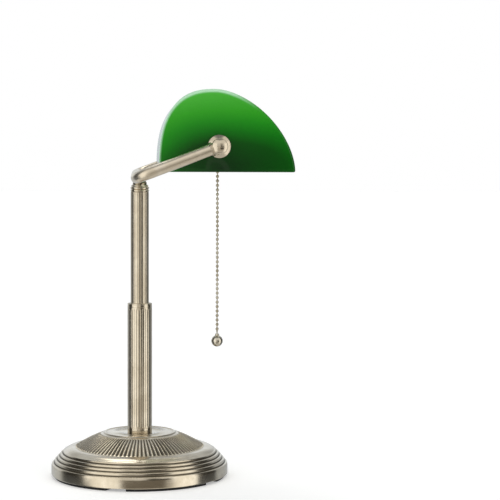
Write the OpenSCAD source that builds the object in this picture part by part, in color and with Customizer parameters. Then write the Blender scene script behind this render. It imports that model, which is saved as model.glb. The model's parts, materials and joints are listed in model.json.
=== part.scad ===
// Banker's desk lamp: a weighted round base, a two-stage reeded column, a U-shaped tube
// yoke and a glass shade that turns about a level axis between the yoke's two ball elbows.
// The origin is on the floor under the column. +X points to the shade's front, +Z is up.

/* [Base] */
// Diameter of the base over its rim
base_d = 181.6; // [176:0.2:190]
// Height of the flat top of the base above the floor
base_h = 45.3; // [44:0.1:50]
// Thickness of the foam foot ring
pad_h = 3; // [2:0.5:4]
// Thickness of the spun metal cover
cover_t = 1.2; // [0.8:0.1:1.6]
// Thickness of the iron weight
weight_h = 10; // [8:1:14]

/* [Column] */
// Diameter of the lower column over its reeds
lower_d = 25.2; // [24:0.2:28]
// Diameter of the upper column over its reeds
upper_d = 18.8; // [17:0.2:19.4]
// Height of the lower column's top above the floor
lower_top_z = 178.7; // [150:0.1:200]
// Height of the upper column's top above the floor
upper_top_z = 292.5; // [292:0.1:292.8]
// Number of reeds round each column
reeds = 26; // [22:2:28]

/* [Yoke] */
// Outside diameter of the yoke's tube
tube_d = 11.5; // [10:0.1:11.6]
// Bend radius of the tube's centreline
bend_r = 14; // [13:0.5:14]
// Distance from the lamp's centre plane to each arm
arm_y = 123; // [123:0.5:126]
// Height of the tilt axis above the floor
pivot_z = 339.2; // [339:0.1:340]
// Distance of the tilt axis in front of the column
pivot_x = 76; // [75.8:0.1:77]
// Diameter of the ball elbows
elbow_d = 17.6; // [16:0.1:18]

/* [Shade] */
// Length of the shade
shade_len = 225; // [224:0.5:225]
// Thickness of the glass
glass_t = 3; // [2.5:0.1:3.5]
// Height of the shade
shade_h = 79.8; // [74:0.1:80]
// Depth of the shade in front of its crown
front_depth = 77.2; // [70:0.1:77.4]
// Depth of the shade behind its crown
rear_depth = 54.2; // [50:0.1:56]

/* [Socket and chain] */
// Outside diameter of the socket's shell
socket_d = 32.4; // [32:0.1:33]
// Diameter of the tubular bulb
bulb_d = 30; // [28:0.5:32]
// Distance of the bulb's far end beyond the centre plane
bulb_end_y = 62; // [40:1:90]
// Diameter of the chain's beads
bead_d = 3.2; // [2.8:0.1:3.2]
// Diameter of the chain's end ball
ball_d = 11.4; // [9:0.1:12]
// Height of the end ball's centre above the floor
ball_z = 147.8; // [120:0.1:200]

/* [Hidden] */
$fn = 64;
cut = 1;                      // how far a cutting shape runs past a face
near = -1;                    // the side that faces -Y
far = 1;

// base, outside in
base_r = base_d / 2;
pad_in_r = 66;
pad_out_r = 88;
notch_r = 73;                 // the notches in the foot ring start at this radius
notches = 5;
notch_angle = 12;
first_notch = -106;
rim_top_z = 14.3;
rim_lean = 0.6;               // the rim's top is this much smaller than its foot
ring_run = [2.9, 2.8, 2.8, 3.1];   // thin stepped rings above the rim
ring_rise = [3.7, 3.2, 3, 2.6];
ring_foot = [0.2, 1];         // where each ring's wall starts, outside and below its own edge
ring_count = len(ring_run);
band_in_r = 67;               // smooth band between the rings and the fluted slope
band_in_z = 30.6;
band_power = 2.4;
slope_in_r = 37;              // fluted slope up to the flat top
slope_in_z = base_h - 0.7;
slope_power = 1.3;
ridge_h = 0.5;                // bead round the edge of the flat top
plate_t = 1.2;
plate_z = pad_h + 0.2;
weight_z = plate_z + plate_t + 0.2;
weight_r = 72;
weight_top = weight_z + weight_h;
pocket_r = 12;                // pocket for the nut in the weight's underside
pocket_h = 7;
lead_slot_w = 9;
washer_t = 1.2;
washer_out_r = 9.5;
spacer_r = 9;
nut_t = 4.8;
nut_af = 14;
inlet_angle = 150;            // direction of the cord inlet seen from above, counted from the shade's front
grommet_z = 8;
grommet_r = 4.2;
grommet_bore_r = 3.2;
grommet_flange_r = 4.8;

// threaded lamp pipe and what slides on it
pipe_r = 4.9;
pipe_bore_r = 3.8;
pipe_hole_r = 5.2;
rod_bottom = weight_z + 0.6;
rod_top = 303;
collar_h = 4.2;
reed_slope = 36;
column_t = 1.4;
spigot_h = 6;
cap_h = 7.5;
cap_r = 9.5;
cap_step = 0.8;               // the cap's top ring is this much smaller than its beads
neck_r = 7.2;

// yoke: a flat U tilted up towards its open end
tube_r = tube_d / 2;
tube_bore_r = tube_r - 1.2;
cross_x = -3;
cross_z = 309;
arm_run = pivot_x - cross_x;
arm_rise = pivot_z - cross_z;
arm_len = sqrt(arm_run * arm_run + arm_rise * arm_rise);
tilt = atan2(arm_rise, arm_run);
elbow_r = elbow_d / 2;
arm_seat = 5.2;               // the arm's tube ends this far short of the ball's centre
wire_r = 3;                   // passage for the leads through each ball
ring_w = 2.5;
ring_from = 9.2;
ring_proud = 1.4;

// stack along the tilt axis, as distances from the centre plane
shade_end = shade_len / 2;
rubber_t = 1.2;
shade_gap = 0.3;              // side play of the shade between flange and nut
flange_in = shade_end + rubber_t + shade_gap;
flange_t = 1.4;
flange_r = 11.4;
glass_in = shade_end - glass_t;
inner_washer_in = glass_in - rubber_t;
nut_out = inner_washer_in - shade_gap;
lock_nut_t = 4;
lock_nut_af = 16;
washer_r = 10.5;
washer_hole_r = 5.6;
bushing_r = 8;
running_gap = 0.06;
pipe_out = arm_y - 2;         // the pipe and the stud end inside the balls
pipe_in = 99.5;
stud_in = 103;

// shade
crown_x = pivot_x - 3.5;
lip_z = pivot_z - 24.7;
front_power = 1.7;
rear_power = 2.6;
arc_steps = 24;

// socket, along Y from the near end
socket_r = socket_d / 2;
cap_back = -103.5;
cap_front = -86;
cap_shell_r = socket_r + 0.7;
shell_back = -88;
shell_front = -44;
interior_back = -98;
interior_front = -73;
interior_r = socket_r - 1.8;
screw_front = -46;
screw_r = 13.7;
chain_y = -78;
chain_r = bead_d / 2;
bushing_tip_z = 316;
bushing_top_z = pivot_z - socket_r + 0.7;
bushing_tube_r = 3.5;
bushing_bore_r = chain_r + 0.3;
lever_z = 333;
lever_t = 1.6;
chain_pivot_z = bushing_tip_z - chain_r;
ball_r = ball_d / 2;
ferrule_top_z = ball_z + ball_r + 1.5;
bulb_r = bulb_d / 2;
bulb_base_r = 12.9;
bulb_base_back = -69;
bulb_base_front = -45;

brass = "#a5946c";
dark_brass = "#6f6248";
steel = "#9a9a98";
black = "#1c1c1c";
glass_green = "#0d6b2a";

// ---- shared shapes ----

module tube(outer, bore, height) {
  difference() {
    cylinder(r = outer, h = height);
    translate([0, 0, -cut]) cylinder(r = bore, h = height + 2 * cut);
  }
}

module hex_nut(across_flats, bore, height) {
  difference() {
    cylinder(r = across_flats / 2 / cos(30), h = height, $fn = 6);
    translate([0, 0, -cut]) cylinder(r = bore, h = height + 2 * cut);
  }
}

// children stand on the XY plane; they end up on the tilt axis, from y = at outwards to that side
module on_axis(side, at) {
  translate([pivot_x, side * at, pivot_z]) rotate([-90 * side, 0, 0]) children();
}

// children are drawn round Z with z as the lamp's y, on the socket's axis
module along_socket() {
  translate([pivot_x, 0, pivot_z]) rotate([-90, 0, 0]) children();
}

// a revolved shape given as [y, r] points along the socket's axis
module socket_turned(points) {
  along_socket() rotate_extrude() polygon([for (p = points) [p[1], p[0]]]);
}

// ---- base ----

module foot_ring() {
  color(black) difference() {
    tube(pad_out_r, pad_in_r, pad_h);
    for (i = [0 : notches - 1])
      rotate(first_notch + i * 360 / notches) translate([0, 0, -cut])
        linear_extrude(pad_h + 2 * cut) polygon([
          for (side = [-1, 1], r = side < 0 ? [notch_r, 2 * base_r] : [2 * base_r, notch_r])
            [r * cos(notch_angle / 2), side * r * sin(notch_angle / 2)]]);
  }
}

module base_plate() {
  color(black) translate([0, 0, plate_z]) cylinder(r = base_r - 4.5, h = plate_t);
}

module base_weight() {
  color(steel) difference() {
    translate([0, 0, weight_z]) tube(weight_r, pipe_hole_r, weight_h);
    translate([0, 0, weight_z - cut]) cylinder(r = pocket_r, h = pocket_h + cut);
    rotate([0, 0, inlet_angle]) translate([0, -lead_slot_w / 2, weight_z - cut])
      cube([weight_r + cut, lead_slot_w, pocket_h + cut]);
  }
}

module base_washer() {
  color(steel) translate([0, 0, weight_z + pocket_h - washer_t]) tube(washer_out_r, pipe_hole_r, washer_t);
}

module base_nut() {
  color(steel) translate([0, 0, weight_z + pocket_h - washer_t - nut_t]) hex_nut(nut_af, pipe_r, nut_t);
}

module base_spacer() {
  color(steel) translate([0, 0, weight_top]) tube(spacer_r, pipe_hole_r, base_h - cover_t - weight_top);
}

// edge of the rim's top (i = 0) or of a ring, as [radius, height]
function ring_edge(i) = i == 0 ? [base_r - rim_lean, rim_top_z]
  : ring_edge(i - 1) + [-ring_run[i - 1], ring_rise[i - 1]];

// outer line of the cover, from the rim's foot to the column, as [radius, height]
band_edge = ring_edge(ring_count);
cover_line = concat(
  [[base_r, pad_h]],
  [for (i = [0 : ring_count - 1], p = [ring_edge(i), [ring_edge(i + 1)[0] + ring_foot[0],
                                                      ring_edge(i)[1] + ring_foot[1]]]) p],
  [for (i = [8 : -1 : 1]) let (u = i / 8) [band_in_r + (band_edge[0] - band_in_r) * u,
                                           band_in_z - (band_in_z - band_edge[1]) * pow(u, band_power)]],
  [for (i = [8 : -1 : 0]) let (u = i / 8) [slope_in_r + (band_in_r - slope_in_r) * u,
                                           slope_in_z - (slope_in_z - band_in_z) * pow(u, slope_power)]],
  [[slope_in_r - 0.3, base_h + ridge_h], [slope_in_r - 2, base_h + ridge_h], [slope_in_r - 3, base_h],
   [pipe_hole_r, base_h]]);

// stands a turned piece on the cord inlet's axis, its Z outwards from depth inside the rim
module at_inlet(depth) {
  rotate([0, 0, inlet_angle]) translate([base_r - depth, 0, grommet_z]) rotate([0, 90, 0]) children();
}

module base_cover() {
  inner_line = [for (p = cover_line)
    [max(pipe_hole_r, p[0] - cover_t), p[1] > pad_h ? p[1] - cover_t : p[1]]];
  last = len(inner_line) - 1;
  color(brass) difference() {
    rotate_extrude($fn = 128) polygon(concat(cover_line, [for (i = [last : -1 : 0]) inner_line[i]]));
    at_inlet(5) cylinder(r = grommet_r, h = 5 + cut);
  }
}

module cord_grommet() {
  flange_t = 1;
  wall = 2.7;
  proud = 1.1;
  reach = 2 * flange_t + wall;
  color(black) at_inlet(reach - proud) rotate_extrude() polygon([
    [grommet_bore_r, 0], [grommet_flange_r, 0], [grommet_flange_r, flange_t], [grommet_r, flange_t],
    [grommet_r, flange_t + wall], [grommet_flange_r, flange_t + wall],
    [grommet_flange_r, reach], [grommet_bore_r, reach]]);
}

// ---- column ----

module threaded_rod() {
  color(steel) translate([0, 0, rod_bottom]) tube(pipe_r, pipe_bore_r, rod_top - rod_bottom);
}

// radius of one reed's arc, from its slope where it meets its neighbour
function reed_r(outer_r) =
  outer_r * tan(180 / reeds) / (sin(reed_slope) + tan(180 / reeds) * (1 - cos(reed_slope)));

function column_bore_r(outer_r) = reed_r(outer_r) * sin(reed_slope) / sin(180 / reeds) - column_t;

// a tube whose outside is a ring of convex reeds
module reeded_tube(outer_r, height) {
  difference() {
    linear_extrude(height) union() {
      for (i = [0 : reeds - 1]) rotate(i * 360 / reeds) translate([outer_r - reed_r(outer_r), 0])
        circle(r = reed_r(outer_r), $fn = 32);
    }
    translate([0, 0, -cut]) cylinder(r = column_bore_r(outer_r), h = height + 2 * cut);
  }
}

// radius of the spigots that locate a column
function spigot_r(outer_r) = column_bore_r(outer_r) - 0.05;

lower_r = lower_d / 2;
upper_r = upper_d / 2;
lower_from = base_h + collar_h;
lower_to = lower_top_z - collar_h;
upper_from = lower_top_z;

module base_collar() {
  color(brass) difference() {
    union() {
      translate([0, 0, base_h]) cylinder(r = lower_r, h = collar_h);
      translate([0, 0, lower_from]) cylinder(r = spigot_r(lower_r), h = spigot_h);
    }
    translate([0, 0, base_h - cut]) cylinder(r = pipe_hole_r, h = collar_h + spigot_h + 2 * cut);
  }
}

module lower_column() {
  color(brass) translate([0, 0, lower_from]) reeded_tube(lower_r, lower_to - lower_from);
}

module reducer_ring() {
  color(brass) difference() {
    union() {
      translate([0, 0, lower_to]) cylinder(r = lower_r, h = collar_h);
      translate([0, 0, lower_to - spigot_h]) cylinder(r = spigot_r(lower_r), h = spigot_h);
      translate([0, 0, lower_top_z]) cylinder(r = spigot_r(upper_r), h = spigot_h);
    }
    translate([0, 0, lower_to - spigot_h - cut])
      cylinder(r = pipe_hole_r, h = collar_h + 2 * spigot_h + 2 * cut);
  }
}

module upper_column() {
  color(brass) translate([0, 0, upper_from]) reeded_tube(upper_r, upper_top_z - upper_from);
}

module column_cap() {
  groove = 0.6;
  groove_z = upper_top_z + 2.8;
  top = upper_top_z + cap_h;
  color(brass) rotate_extrude() polygon([
    [pipe_hole_r, upper_top_z - spigot_h], [spigot_r(upper_r), upper_top_z - spigot_h],
    [spigot_r(upper_r), upper_top_z], [cap_r, upper_top_z], [cap_r, groove_z - 0.5],
    [cap_r - groove, groove_z], [cap_r, groove_z + 0.5], [cap_r, top - 1.9],
    [cap_r - cap_step, top - 1.5], [cap_r - cap_step, top - 0.7], [cap_r - cap_step - 0.7, top],
    [pipe_hole_r, top]]);
}

// ---- yoke ----

module yoke_frame() {
  translate([cross_x, 0, cross_z]) rotate([0, -tilt, 0]) children();
}

// the U as a solid bar: crossbar, two bends, two arms
module yoke_bar(r, arm_end) {
  straight = arm_y - bend_r;
  yoke_frame() {
    rotate([90, 0, 0]) cylinder(r = r, h = 2 * straight, center = true);
    for (side = [near, far]) {
      translate([bend_r, side * straight, 0]) rotate(side > 0 ? 90 : 180)
        rotate_extrude(angle = 90) translate([bend_r, 0]) circle(r = r);
      translate([bend_r, side * arm_y, 0]) rotate([0, 90, 0]) cylinder(r = r, h = arm_end - bend_r);
    }
  }
}

module yoke() {
  color(brass) difference() {
    yoke_bar(tube_r, arm_len - arm_seat);
    yoke_bar(tube_bore_r, arm_len - arm_seat + cut);
    translate([0, 0, rod_top - cut]) cylinder(r = pipe_bore_r, h = cross_z - rod_top + cut);
  }
}

module yoke_saddle() {
  saddle_z = upper_top_z + cap_h;
  color(dark_brass) difference() {
    rotate_extrude() polygon([[pipe_r, saddle_z], [neck_r, saddle_z], [neck_r, saddle_z + 2],
                              [neck_r - 1.8, saddle_z + 5], [pipe_r, saddle_z + 5]]);
    yoke_frame() rotate([90, 0, 0]) cylinder(r = tube_r, h = 4 * tube_d, center = true);
  }
}

// a shape drawn along the arm: +X is the arm's direction and the ball's centre is the origin
module at_elbow(side) {
  translate([pivot_x, side * arm_y, pivot_z]) rotate([0, -tilt, 0]) children();
}

// a ball turned about the tilt axis, cut flat where it meets the flange
module elbow(side) {
  flat_y = flange_in + flange_t;
  flat_angle = -asin((arm_y - flat_y) / elbow_r);
  outline = [for (i = [0 : arc_steps]) let (a = flat_angle + (90 - flat_angle) * i / arc_steps)
    [elbow_r * cos(a), arm_y + elbow_r * sin(a)]];
  color(brass) difference() {
    on_axis(side, 0) rotate_extrude() polygon(concat([[0, flat_y]], outline));
    at_elbow(side) translate([-arm_seat, 0, 0]) rotate([0, -90, 0]) cylinder(r = tube_r, h = elbow_d);
    on_axis(side, flat_y - cut) cylinder(r = pipe_r, h = pipe_out - flat_y + cut);
    at_elbow(side) rotate([0, -90, 0]) cylinder(r = wire_r, h = arm_seat + cut);
  }
}

module arm_ring(side) {
  color(dark_brass) at_elbow(side) translate([-ring_from, 0, 0]) rotate([0, 90, 0])
    tube(tube_r + ring_proud, tube_r, ring_w);
}

module flange(side) {
  color(brass) on_axis(side, flange_in) tube(flange_r, pipe_r, flange_t);
}

module near_nipple() {
  color(steel) on_axis(near, pipe_in) tube(pipe_r, pipe_bore_r, pipe_out - pipe_in);
}

module far_stud() {
  color(steel) on_axis(far, stud_in) cylinder(r = pipe_r, h = pipe_out - stud_in);
}

module lock_nut(side) {
  color(steel) on_axis(side, nut_out - lock_nut_t) hex_nut(lock_nut_af, pipe_r, lock_nut_t);
}

// ---- shade and what is clamped to it ----

module shade_washer(side, from) {
  color(black) on_axis(side, from) tube(washer_r, washer_hole_r, rubber_t);
}

module shade_bushing(side) {
  color(dark_brass) on_axis(side, glass_in) tube(bushing_r, pipe_r + running_gap, glass_t);
}

// one quarter of the end outline, a superellipse about the crown's foot, from 90 degrees out to 0
function quarter(depth, power, way, inset) = [for (i = [0 : arc_steps]) let (a = 90 * (1 - i / arc_steps))
  [crown_x + way * (depth - inset) * pow(cos(a), 2 / power), lip_z + (shade_h - inset) * pow(sin(a), 2 / power)]];

function shade_outline(inset) = let (rear = quarter(rear_depth, rear_power, -1, inset)) concat(
  [for (i = [arc_steps : -1 : 1]) rear[i]], quarter(front_depth, front_power, 1, inset));

module shade_block(points, length) {
  translate([0, length / 2, 0]) rotate([90, 0, 0]) linear_extrude(length) polygon(points);
}

module glass_shade() {
  inner = shade_outline(glass_t);
  below = [[inner[len(inner) - 1][0], lip_z - cut], [inner[0][0], lip_z - cut]];
  color(glass_green) difference() {
    shade_block(shade_outline(0), shade_len);
    shade_block(concat(inner, below), 2 * glass_in);
    for (side = [near, far]) on_axis(side, glass_in - cut) cylinder(r = bushing_r, h = glass_t + 2 * cut);
  }
}

// ---- socket and bulb ----

module socket_cap() {
  wall = 0.7;
  color(brass) socket_turned([
    [cap_back, pipe_r], [cap_back, 9], [cap_back + 3, 13.5], [cap_back + 8, cap_shell_r],
    [cap_front, cap_shell_r], [cap_front, cap_shell_r - wall], [cap_back + 8.2, cap_shell_r - wall],
    [cap_back + 3.6, 12.8], [cap_back + 1, 8.6], [cap_back + 1, pipe_r]]);
}

module chain_hole(r) {
  translate([pivot_x, chain_y, pivot_z - socket_d]) cylinder(r = r, h = socket_d);
}

module socket_shell() {
  color(brass) difference() {
    along_socket() translate([0, 0, shell_back]) tube(socket_r, socket_r - 0.6, shell_front - shell_back);
    chain_hole(bushing_tube_r);
  }
}

module socket_liner() {
  color("#c9b68a") difference() {
    along_socket() translate([0, 0, shell_back]) tube(socket_r - 0.8, socket_r - 1.3, shell_front - shell_back);
    chain_hole(bushing_bore_r + 0.5);
  }
}

module socket_interior() {
  pocket_w = 6.8;
  color(black) difference() {
    socket_turned([[interior_back, 0], [interior_back, 9.5], [shell_back, 9.5], [shell_back, interior_r],
                   [interior_front, interior_r], [interior_front, 0]]);
    translate([pivot_x - pocket_w / 2, chain_y - 14, pivot_z - interior_r - cut])
      cube([pocket_w, 17.5, interior_r - 2]);
  }
}

module screw_shell() {
  wall = 0.5;
  color("#c0a060") socket_turned([
    [interior_front, 4], [interior_front, screw_r], [screw_front, screw_r], [screw_front, screw_r - wall],
    [interior_front + wall, screw_r - wall], [interior_front + wall, 4]]);
}

module centre_contact() {
  color("#c0a060") along_socket() translate([0, 0, interior_front]) cylinder(r = 3.2, h = 2.2);
}

module chain_bushing() {
  color(brass) translate([pivot_x, chain_y, 0]) rotate_extrude() polygon([
    [bushing_bore_r, bushing_tip_z], [bushing_tube_r + 0.9, bushing_tip_z],
    [bushing_tube_r + 0.9, bushing_tip_z + 1.2], [bushing_tube_r, bushing_tip_z + 2],
    [bushing_tube_r, bushing_top_z], [bushing_bore_r, bushing_top_z]]);
}

module bulb_base() {
  wall = 0.5;
  color("#c8c4b8") socket_turned([
    [bulb_base_back, 4.6], [bulb_base_back, 10], [bulb_base_back + 3, bulb_base_r],
    [bulb_base_front, bulb_base_r], [bulb_base_front, bulb_base_r - wall],
    [bulb_base_back + 3.2, bulb_base_r - wall], [bulb_base_back + 0.5, 9.6], [bulb_base_back + 0.5, 4.6]]);
}

module bulb_contact() {
  color(steel) along_socket() translate([0, 0, bulb_base_back - 1.7]) cylinder(r = 4.6, h = 2.2);
}

module bulb_glass() {
  wall = 0.9;
  neck = bulb_base_front - 5;
  neck_r = bulb_base_r - 0.5;
  dome = [for (i = [0 : 10]) let (a = 9 * i) [bulb_end_y - bulb_r * 0.8 * (1 - sin(a)), bulb_r * cos(a)]];
  inner_dome = [for (i = [10 : -1 : 0]) let (a = 9 * i)
    [bulb_end_y - wall - bulb_r * 0.8 * (1 - sin(a)), (bulb_r - wall) * cos(a)]];
  color("#f2efe6") socket_turned(concat(
    [[neck, neck_r - wall], [neck, neck_r], [bulb_base_front, neck_r], [bulb_base_front + 12, bulb_r]], dome,
    inner_dome, [[bulb_base_front + 12.4, bulb_r - wall], [bulb_base_front + 0.4, neck_r - wall]]));
}

// ---- pull switch ----

module switch_lever() {
  color(steel) translate([pivot_x - 2.2, chain_y - 12, lever_z]) cube([4.4, 14.5, lever_t]);
}

module lead_beads() {
  color(brass) translate([pivot_x, chain_y, bushing_tip_z + 0.2])
    cylinder(r = chain_r, h = lever_z - bushing_tip_z - 0.2);
}

module pull_chain() {
  color(brass) translate([pivot_x, chain_y, 0]) {
    translate([0, 0, chain_pivot_z]) sphere(r = chain_r);
    translate([0, 0, ferrule_top_z]) cylinder(r = chain_r, h = chain_pivot_z - ferrule_top_z);
  }
}

module chain_ball() {
  color(brass) translate([pivot_x, chain_y, 0]) {
    translate([0, 0, ball_z]) sphere(r = ball_r);
    translate([0, 0, ball_z]) cylinder(r = chain_r + 0.4, h = ferrule_top_z - ball_z);
  }
}

foot_ring();
base_plate();
base_weight();
base_spacer();
base_cover();
base_nut();
base_washer();
cord_grommet();
threaded_rod();
base_collar();
lower_column();
reducer_ring();
upper_column();
column_cap();
yoke_saddle();
yoke();
elbow(near);  // near_elbow
elbow(far);  // far_elbow
arm_ring(near);  // near_arm_ring
arm_ring(far);  // far_arm_ring
flange(near);  // near_flange
flange(far);  // far_flange
near_nipple();
far_stud();
lock_nut(near);  // near_lock_nut
lock_nut(far);  // far_lock_nut
shade_washer(near, shade_end);  // near_outer_washer
shade_washer(far, shade_end);  // far_outer_washer
shade_bushing(near);  // near_bushing
shade_bushing(far);  // far_bushing
shade_washer(near, inner_washer_in);  // near_inner_washer
shade_washer(far, inner_washer_in);  // far_inner_washer
glass_shade();
socket_cap();
socket_shell();
socket_liner();
socket_interior();
screw_shell();
centre_contact();
chain_bushing();
bulb_base();
bulb_contact();
bulb_glass();
switch_lever();
lead_beads();
pull_chain();
chain_ball();
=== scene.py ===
"""Banker's desk lamp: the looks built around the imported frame. Lengths in the helpers are millimetres."""
import json
import math

import bmesh
import bpy
from mathutils import Matrix, Vector


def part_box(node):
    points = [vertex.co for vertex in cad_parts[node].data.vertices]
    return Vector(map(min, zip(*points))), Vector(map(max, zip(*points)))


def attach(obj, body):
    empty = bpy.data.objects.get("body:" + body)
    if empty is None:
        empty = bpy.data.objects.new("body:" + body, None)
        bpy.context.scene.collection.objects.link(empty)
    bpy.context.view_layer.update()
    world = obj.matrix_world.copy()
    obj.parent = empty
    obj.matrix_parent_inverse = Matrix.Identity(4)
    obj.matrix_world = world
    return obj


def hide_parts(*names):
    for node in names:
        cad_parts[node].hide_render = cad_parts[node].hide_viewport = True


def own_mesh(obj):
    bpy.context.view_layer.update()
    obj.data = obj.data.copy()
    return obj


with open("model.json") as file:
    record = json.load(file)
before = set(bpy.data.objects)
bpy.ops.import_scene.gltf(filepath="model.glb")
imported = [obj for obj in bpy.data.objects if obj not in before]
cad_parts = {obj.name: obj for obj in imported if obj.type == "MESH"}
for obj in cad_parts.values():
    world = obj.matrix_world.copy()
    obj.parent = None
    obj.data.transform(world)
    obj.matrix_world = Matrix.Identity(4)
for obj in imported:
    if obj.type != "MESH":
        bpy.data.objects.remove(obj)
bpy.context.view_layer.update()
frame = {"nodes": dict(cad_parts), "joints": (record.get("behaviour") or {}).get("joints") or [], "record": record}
nodes = frame["nodes"]
slot_of = {part["node"]: part["material_slot"] for part in frame["record"]["subparts"]}
body_of = {node: body for body, held in frame["record"]["behaviour"]["bodies"].items() for node in held}
MM = 0.001


# ---- the frame's own measures, in millimetres ----

def node_box(node):
    """Lowest and highest corner of a CAD node in millimetres."""
    low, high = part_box(node)
    return low / MM, high / MM


def joint_point(name):
    """A hinge's place in millimetres."""
    found = [j for j in frame["joints"] if j["name"] == name][0]
    return Vector(found["pos_m"]) / MM


pivot = joint_point("shade_tilt")
swing = joint_point("chain_swing")
cover_low, cover_high = node_box("base_cover")
base_r = cover_high.x
lower_low, lower_high = node_box("lower_column")
upper_low, upper_high = node_box("upper_column")
collar_low, collar_high = node_box("base_collar")
reducer_low, reducer_high = node_box("reducer_ring")
cap_high = node_box("column_cap")[1]
shade_low, shade_high = node_box("glass_shade")
ball_low, ball_high = node_box("chain_ball")
chain_low, chain_high = node_box("pull_chain")
bushing_low, bushing_high = node_box("chain_bushing")
plateau_z = collar_low.z
glass = 3.0  # the shade's wall
rod_hole = 5.2  # radius that clears the threaded rod


# ---- small geometry helpers ----

def fillet(points, radius):
    """The closed outline with each corner rounded. A point is (r, z) or (r, z, its own radius)."""
    steps = 4
    sharpest, flattest = math.radians(3), math.radians(86)
    most = 0.45
    rounded = []
    count = len(points)
    for i, point in enumerate(points):
        here = Vector(point[:2])
        before = Vector(points[i - 1][:2])
        after = Vector(points[(i + 1) % count][:2])
        size = point[2] if len(point) > 2 else radius
        back, ahead = before - here, after - here
        if size <= 0 or back.length < 1e-6 or ahead.length < 1e-6:
            rounded.append(tuple(here))
            continue
        half = back.angle(ahead) / 2
        if half > flattest or half < sharpest:
            rounded.append(tuple(here))
            continue
        reach = min(size / math.tan(half), most * back.length, most * ahead.length)
        start, end = here + back.normalized() * reach, here + ahead.normalized() * reach
        for k in range(steps + 1):
            t = k / steps
            rounded.append(tuple(start * (1 - t) ** 2 + here * 2 * t * (1 - t) + end * t ** 2))
    return rounded


def finish_piece(name, verts, faces, node, sharp=35, shades=None, slots=None, material=None):
    """A mesh object in the lamp's frame that stands for a CAD node, on its body and in its material.

    shades is {attribute: one number per vertex}, for the material to read.
    slots is one material number per face. material is for a piece that differs from its node's.
    """
    mesh = bpy.data.meshes.new(name)
    mesh.from_pydata([tuple(Vector(v) * MM) for v in verts], [], faces)
    for attribute, values in (shades or {}).items():
        mesh.attributes.new(attribute, "FLOAT", "POINT").data.foreach_set("value", values)
    if slots:
        mesh.polygons.foreach_set("material_index", slots)
    mesh.update()
    edit = bmesh.new()
    edit.from_mesh(mesh)
    bmesh.ops.remove_doubles(edit, verts=edit.verts, dist=1e-6)
    bmesh.ops.dissolve_degenerate(edit, edges=edit.edges, dist=1e-7)
    bmesh.ops.recalc_face_normals(edit, faces=edit.faces)
    edit.to_mesh(mesh)
    edit.free()
    mesh.shade_smooth()
    mesh.set_sharp_from_angle(angle=math.radians(sharp))
    piece = bpy.data.objects.new(name, mesh)
    bpy.context.scene.collection.objects.link(piece)
    mesh.materials.append(material or slot_materials[slot_of[node]])
    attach(piece, body_of[node])
    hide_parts(node)
    return piece


def lathe_data(outline, segments, place):
    """Vertices and faces of a closed outline of (r, z) turned about Z and then placed."""
    verts = []
    for k in range(segments):
        angle = 2 * math.pi * k / segments
        c, s = math.cos(angle), math.sin(angle)
        verts += [place @ Vector((r * c, r * s, z)) for r, z in outline]
    return verts, grid_faces(segments, len(outline))


def lathe(name, outline, node, segments, place=Matrix.Identity(4), radius=0.4, material=None):
    """A turned piece. radius rounds each corner that has none of its own."""
    verts, faces = lathe_data(fillet(outline, radius), segments, place)
    finish_piece(name, verts, faces, node, material=material)


def side_place(side):
    """Stands a turned piece on the tilt axis, its Z pointing out to that side: -1 is near, 1 is far."""
    return Matrix.Translation((pivot.x, 0, pivot.z)) @ Matrix.Rotation(math.radians(-90 * side), 4, "X")


def smooth(value, low, high):
    """0 below low, 1 above high, with a soft change between."""
    t = min(1.0, max(0.0, (value - low) / (high - low)))
    return t * t * (3 - 2 * t)


def grid_faces(columns, rows):
    """Faces of a closed ring of columns, each column a closed run of rows vertices."""
    faces = []
    for k in range(columns):
        a, b = k * rows, (k + 1) % columns * rows
        for i in range(rows):
            j = (i + 1) % rows
            faces.append((a + i, b + i, b + j, a + j))
    return faces


# ---- materials ----

def socket_link(tree, value, socket):
    if isinstance(value, bpy.types.NodeSocket):
        tree.links.new(value, socket)
    else:
        socket.default_value = value


def math_of(tree, operation, *values):
    node = tree.nodes.new("ShaderNodeMath")
    node.operation = operation
    for value, socket in zip(values, node.inputs):
        socket_link(tree, value, socket)
    return node.outputs[0]


def ramp_of(tree, value, low, high):
    """0 at low, 1 at high, with a soft change between."""
    node = tree.nodes.new("ShaderNodeMapRange")
    node.interpolation_type = "SMOOTHSTEP"
    socket_link(tree, value, node.inputs["Value"])
    node.inputs["From Min"].default_value = low
    node.inputs["From Max"].default_value = high
    return node.outputs["Result"]


def mix_of(tree, share, a, b):
    node = tree.nodes.new("ShaderNodeMix")
    node.data_type = "RGBA"
    socket_link(tree, share, node.inputs["Factor"])
    socket_link(tree, a, node.inputs["A"])
    socket_link(tree, b, node.inputs["B"])
    return node.outputs["Result"]


def noise_of(tree, scale, detail, distortion=0.0):
    """Noise fixed to the object, at scale cycles a metre."""
    place = tree.nodes.new("ShaderNodeTexCoord").outputs["Object"]
    noise = tree.nodes.new("ShaderNodeTexNoise")
    noise.inputs["Scale"].default_value = scale
    noise.inputs["Detail"].default_value = detail
    noise.inputs["Distortion"].default_value = distortion
    tree.links.new(place, noise.inputs["Vector"])
    return noise.outputs["Fac"]


def bump_of(tree, height, strength, distance):
    node = tree.nodes.new("ShaderNodeBump")
    node.inputs["Strength"].default_value = strength
    node.inputs["Distance"].default_value = distance
    tree.links.new(height, node.inputs["Height"])
    return node.outputs["Normal"]


def new_material(name):
    material = bpy.data.materials.new(name)
    material.use_nodes = True
    return material, material.node_tree, material.node_tree.nodes["Principled BSDF"]


def rgba(colour):
    return (*colour, 1.0)


def attribute_of(tree, name):
    node = tree.nodes.new("ShaderNodeAttribute")
    node.attribute_name = name
    return node.outputs["Fac"]


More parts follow.
